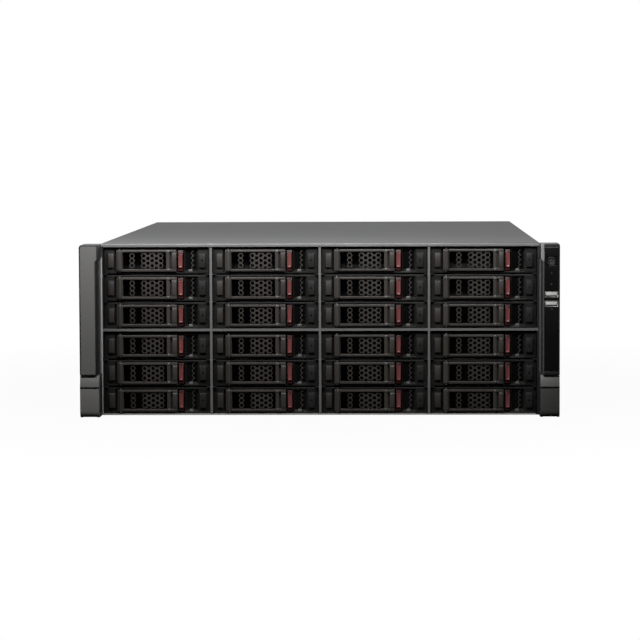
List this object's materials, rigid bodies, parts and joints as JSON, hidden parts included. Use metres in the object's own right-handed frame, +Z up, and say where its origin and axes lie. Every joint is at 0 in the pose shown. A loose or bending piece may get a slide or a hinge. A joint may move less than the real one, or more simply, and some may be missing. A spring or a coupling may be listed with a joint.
{
  "type": "video surveillance server",
  "caption": "Rack-mount storage server with a front wall of hot-swap drive trays, honeycomb levers, moulded rack ears, control strip, cooling fans and plug-in power supplies.",
  "frame": {"origin": "centre of the outline on the plane the floor sheet rests on", "axes": "+X to the right seen from the front, +Y from the front to the rear, +Z up"},
  "size_m": [0.4826, 0.692, 0.1755],
  "materials": {
    "zinc_steel": "zinc-coated sheet, satin",
    "cover_steel": "mid-grey coated sheet, satin",
    "ear_plastic": "dark grey moulding, fine grain",
    "panel_gloss": "black, polished",
    "key_plastic": "black, satin gloss",
    "connector_steel": "nickel plated",
    "screw_steel": "nickel plated",
    "circuit_board": "solder mask",
    "sink_aluminium": "extruded",
    "memory_black": "matt",
    "fan_black": "matt",
    "supply_steel": "zinc-coated sheet",
    "handle_plastic": "satin",
    "tray_plastic": "warm dark grey moulding",
    "lever_plastic": "warm dark grey moulding",
    "release_maroon": "maroon, satin"
  },
  "bodies": {
    "chassis": {"chassis_tub": "zinc_steel", "rear_panel": "zinc_steel", "drive_cage": "zinc_steel", "rack_flanges": "zinc_steel", "left_ear": "ear_plastic", "right_ear": "ear_plastic", "rack_screws": "screw_steel", "control_panel": "panel_gloss", "usb_ports": "connector_steel", "backplane": "circuit_board", "fan_wall": "fan_black", "main_board": "circuit_board", "heat_sinks": "sink_aluminium", "memory_modules": "memory_black", "io_connectors": "connector_steel", "slot_covers": "zinc_steel", "psu_cage": "zinc_steel"},
    "cover": {"top_cover": "cover_steel"},
    "left_flap": {"left_ear_flap": "ear_plastic"},
    "right_flap": {"right_ear_flap": "ear_plastic"},
    "power_key": {"power_button": "key_plastic"},
    "supply_1": {"psu_1": "supply_steel"},
    "supply_1_bail": {"psu_1_handle": "handle_plastic"},
    "supply_2": {"psu_2": "supply_steel"},
    "supply_2_bail": {"psu_2_handle": "handle_plastic"},
    "rotor_1": {"fan_rotor_1": "fan_black"},
    "rotor_2": {"fan_rotor_2": "fan_black"},
    "rotor_3": {"fan_rotor_3": "fan_black"},
    "drawer_r1c1": {"tray_r1c1": "tray_plastic"},
    "drawer_r1c2": {"tray_r1c2": "tray_plastic"},
    "drawer_r1c3": {"tray_r1c3": "tray_plastic"},
    "drawer_r1c4": {"tray_r1c4": "tray_plastic"},
    "drawer_r2c1": {"tray_r2c1": "tray_plastic"},
    "drawer_r2c2": {"tray_r2c2": "tray_plastic"},
    "drawer_r2c3": {"tray_r2c3": "tray_plastic"},
    "drawer_r2c4": {"tray_r2c4": "tray_plastic"},
    "drawer_r3c1": {"tray_r3c1": "tray_plastic"},
    "drawer_r3c2": {"tray_r3c2": "tray_plastic"},
    "drawer_r3c3": {"tray_r3c3": "tray_plastic"},
    "drawer_r3c4": {"tray_r3c4": "tray_plastic"},
    "drawer_r4c1": {"tray_r4c1": "tray_plastic"},
    "drawer_r4c2": {"tray_r4c2": "tray_plastic"},
    "drawer_r4c3": {"tray_r4c3": "tray_plastic"},
    "drawer_r4c4": {"tray_r4c4": "tray_plastic"},
    "drawer_r5c1": {"tray_r5c1": "tray_plastic"},
    "drawer_r5c2": {"tray_r5c2": "tray_plastic"},
    "drawer_r5c3": {"tray_r5c3": "tray_plastic"},
    "drawer_r5c4": {"tray_r5c4": "tray_plastic"},
    "drawer_r6c1": {"tray_r6c1": "tray_plastic"},
    "drawer_r6c2": {"tray_r6c2": "tray_plastic"},
    "drawer_r6c3": {"tray_r6c3": "tray_plastic"},
    "drawer_r6c4": {"tray_r6c4": "tray_plastic"},
    "handle_r1c1": {"lever_r1c1": "lever_plastic"},
    "key_r1c1": {"release_button_r1c1": "release_maroon"},
    "handle_r1c2": {"lever_r1c2": "lever_plastic"},
    "key_r1c2": {"release_button_r1c2": "release_maroon"},
    "handle_r1c3": {"lever_r1c3": "lever_plastic"},
    "key_r1c3": {"release_button_r1c3": "release_maroon"},
    "handle_r1c4": {"lever_r1c4": "lever_plastic"},
    "key_r1c4": {"release_button_r1c4": "release_maroon"}
  },
  "joints": [
    {"name": "cover_lift", "type": "slide", "parent": "chassis", "child": "cover", "axis": [0, 0, 1], "range_m": [0, 0.15]},
    {"name": "left_flap_hinge", "type": "hinge", "parent": "chassis", "child": "left_flap", "pos_m": [-0.23175, -0.33905, 0.0072], "axis": [1, 0, 0], "range_deg": [0, 90]},
    {"name": "right_flap_hinge", "type": "hinge", "parent": "chassis", "child": "right_flap", "pos_m": [0.23175, -0.33905, 0.0072], "axis": [1, 0, 0], "range_deg": [0, 90]},
    {"name": "power_press", "type": "slide", "parent": "chassis", "child": "power_key", "axis": [0, 1, 0], "range_m": [0, 0.0015], "stiffness_N_per_m": 400},
    {"name": "lever_r1c1_swing", "type": "hinge", "parent": "drawer_r1c1", "child": "handle_r1c1", "pos_m": [-0.204, -0.30665, 0.1576], "axis": [0, 0, -1], "range_deg": [0, 65]},
    {"name": "lever_r1c2_swing", "type": "hinge", "parent": "drawer_r1c2", "child": "handle_r1c2", "pos_m": [-0.0932, -0.30665, 0.1576], "axis": [0, 0, -1], "range_deg": [0, 65]},
    {"name": "lever_r1c3_swing", "type": "hinge", "parent": "drawer_r1c3", "child": "handle_r1c3", "pos_m": [0.0176, -0.30665, 0.1576], "axis": [0, 0, -1], "range_deg": [0, 65]},
    {"name": "lever_r1c4_swing", "type": "hinge", "parent": "drawer_r1c4", "child": "handle_r1c4", "pos_m": [0.1284, -0.30665, 0.1576], "axis": [0, 0, -1], "range_deg": [0, 65]},
    {"name": "release_r1c1_press", "type": "slide", "parent": "drawer_r1c1", "child": "key_r1c1", "axis": [0, 1, 0], "range_m": [0, 0.0025], "stiffness_N_per_m": 400},
    {"name": "release_r1c2_press", "type": "slide", "parent": "drawer_r1c2", "child": "key_r1c2", "axis": [0, 1, 0], "range_m": [0, 0.0025], "stiffness_N_per_m": 400},
    {"name": "release_r1c3_press", "type": "slide", "parent": "drawer_r1c3", "child": "key_r1c3", "axis": [0, 1, 0], "range_m": [0, 0.0025], "stiffness_N_per_m": 400},
    {"name": "release_r1c4_press", "type": "slide", "parent": "drawer_r1c4", "child": "key_r1c4", "axis": [0, 1, 0], "range_m": [0, 0.0025], "stiffness_N_per_m": 400},
    {"name": "supply_1_slide", "type": "slide", "parent": "chassis", "child": "supply_1", "axis": [0, 1, 0], "range_m": [0, 0.19]},
    {"name": "supply_2_slide", "type": "slide", "parent": "chassis", "child": "supply_2", "axis": [0, 1, 0], "range_m": [0, 0.19]},
    {"name": "supply_1_bail_swing", "type": "hinge", "parent": "supply_1", "child": "supply_1_bail", "pos_m": [0.187, 0.34365, 0.0404], "axis": [1, 0, 0], "range_deg": [0, 90]},
    {"name": "supply_2_bail_swing", "type": "hinge", "parent": "supply_2", "child": "supply_2_bail", "pos_m": [0.187, 0.34365, 0.0868], "axis": [1, 0, 0], "range_deg": [0, 90]},
    {"name": "tray_r1c1_slide", "type": "slide", "parent": "chassis", "child": "drawer_r1c1", "axis": [0, -1, 0], "range_m": [0, 0.19]},
    {"name": "tray_r1c2_slide", "type": "slide", "parent": "chassis", "child": "drawer_r1c2", "axis": [0, -1, 0], "range_m": [0, 0.19]},
    {"name": "tray_r1c3_slide", "type": "slide", "parent": "chassis", "child": "drawer_r1c3", "axis": [0, -1, 0], "range_m": [0, 0.19]},
    {"name": "tray_r1c4_slide", "type": "slide", "parent": "chassis", "child": "drawer_r1c4", "axis": [0, -1, 0], "range_m": [0, 0.19]},
    {"name": "fan_1_spin", "type": "hinge", "parent": "chassis", "child": "rotor_1", "pos_m": [-0.14, -0.09045, 0.088], "axis": [0, 1, 0], "continuous": true},
    {"name": "fan_2_spin", "type": "hinge", "parent": "chassis", "child": "rotor_2", "pos_m": [0, -0.09045, 0.088], "axis": [0, 1, 0], "continuous": true},
    {"name": "fan_3_spin", "type": "hinge", "parent": "chassis", "child": "rotor_3", "pos_m": [0.14, -0.09045, 0.088], "axis": [0, 1, 0], "continuous": true},
    {"name": "tray_r2c1_slide", "type": "slide", "parent": "chassis", "child": "drawer_r2c1", "axis": [0, -1, 0], "range_m": [0, 0.19]},
    {"name": "tray_r2c2_slide", "type": "slide", "parent": "chassis", "child": "drawer_r2c2", "axis": [0, -1, 0], "range_m": [0, 0.19]},
    {"name": "tray_r2c3_slide", "type": "slide", "parent": "chassis", "child": "drawer_r2c3", "axis": [0, -1, 0], "range_m": [0, 0.19]},
    {"name": "tray_r2c4_slide", "type": "slide", "parent": "chassis", "child": "drawer_r2c4", "axis": [0, -1, 0], "range_m": [0, 0.19]},
    {"name": "tray_r3c1_slide", "type": "slide", "parent": "chassis", "child": "drawer_r3c1", "axis": [0, -1, 0], "range_m": [0, 0.19]},
    {"name": "tray_r3c2_slide", "type": "slide", "parent": "chassis", "child": "drawer_r3c2", "axis": [0, -1, 0], "range_m": [0, 0.19]},
    {"name": "tray_r3c3_slide", "type": "slide", "parent": "chassis", "child": "drawer_r3c3", "axis": [0, -1, 0], "range_m": [0, 0.19]},
    {"name": "tray_r3c4_slide", "type": "slide", "parent": "chassis", "child": "drawer_r3c4", "axis": [0, -1, 0], "range_m": [0, 0.19]},
    {"name": "tray_r4c1_slide", "type": "slide", "parent": "chassis", "child": "drawer_r4c1", "axis": [0, -1, 0], "range_m": [0, 0.19]},
    {"name": "tray_r4c2_slide", "type": "slide", "parent": "chassis", "child": "drawer_r4c2", "axis": [0, -1, 0], "range_m": [0, 0.19]},
    {"name": "tray_r4c3_slide", "type": "slide", "parent": "chassis", "child": "drawer_r4c3", "axis": [0, -1, 0], "range_m": [0, 0.19]},
    {"name": "tray_r4c4_slide", "type": "slide", "parent": "chassis", "child": "drawer_r4c4", "axis": [0, -1, 0], "range_m": [0, 0.19]},
    {"name": "tray_r5c1_slide", "type": "slide", "parent": "chassis", "child": "drawer_r5c1", "axis": [0, -1, 0], "range_m": [0, 0.19]},
    {"name": "tray_r5c2_slide", "type": "slide", "parent": "chassis", "child": "drawer_r5c2", "axis": [0, -1, 0], "range_m": [0, 0.19]},
    {"name": "tray_r5c3_slide", "type": "slide", "parent": "chassis", "child": "drawer_r5c3", "axis": [0, -1, 0], "range_m": [0, 0.19]},
    {"name": "tray_r5c4_slide", "type": "slide", "parent": "chassis", "child": "drawer_r5c4", "axis": [0, -1, 0], "range_m": [0, 0.19]},
    {"name": "tray_r6c1_slide", "type": "slide", "parent": "chassis", "child": "drawer_r6c1", "axis": [0, -1, 0], "range_m": [0, 0.19]},
    {"name": "tray_r6c2_slide", "type": "slide", "parent": "chassis", "child": "drawer_r6c2", "axis": [0, -1, 0], "range_m": [0, 0.19]},
    {"name": "tray_r6c3_slide", "type": "slide", "parent": "chassis", "child": "drawer_r6c3", "axis": [0, -1, 0], "range_m": [0, 0.19]},
    {"name": "tray_r6c4_slide", "type": "slide", "parent": "chassis", "child": "drawer_r6c4", "axis": [0, -1, 0], "range_m": [0, 0.19]}
  ]
}
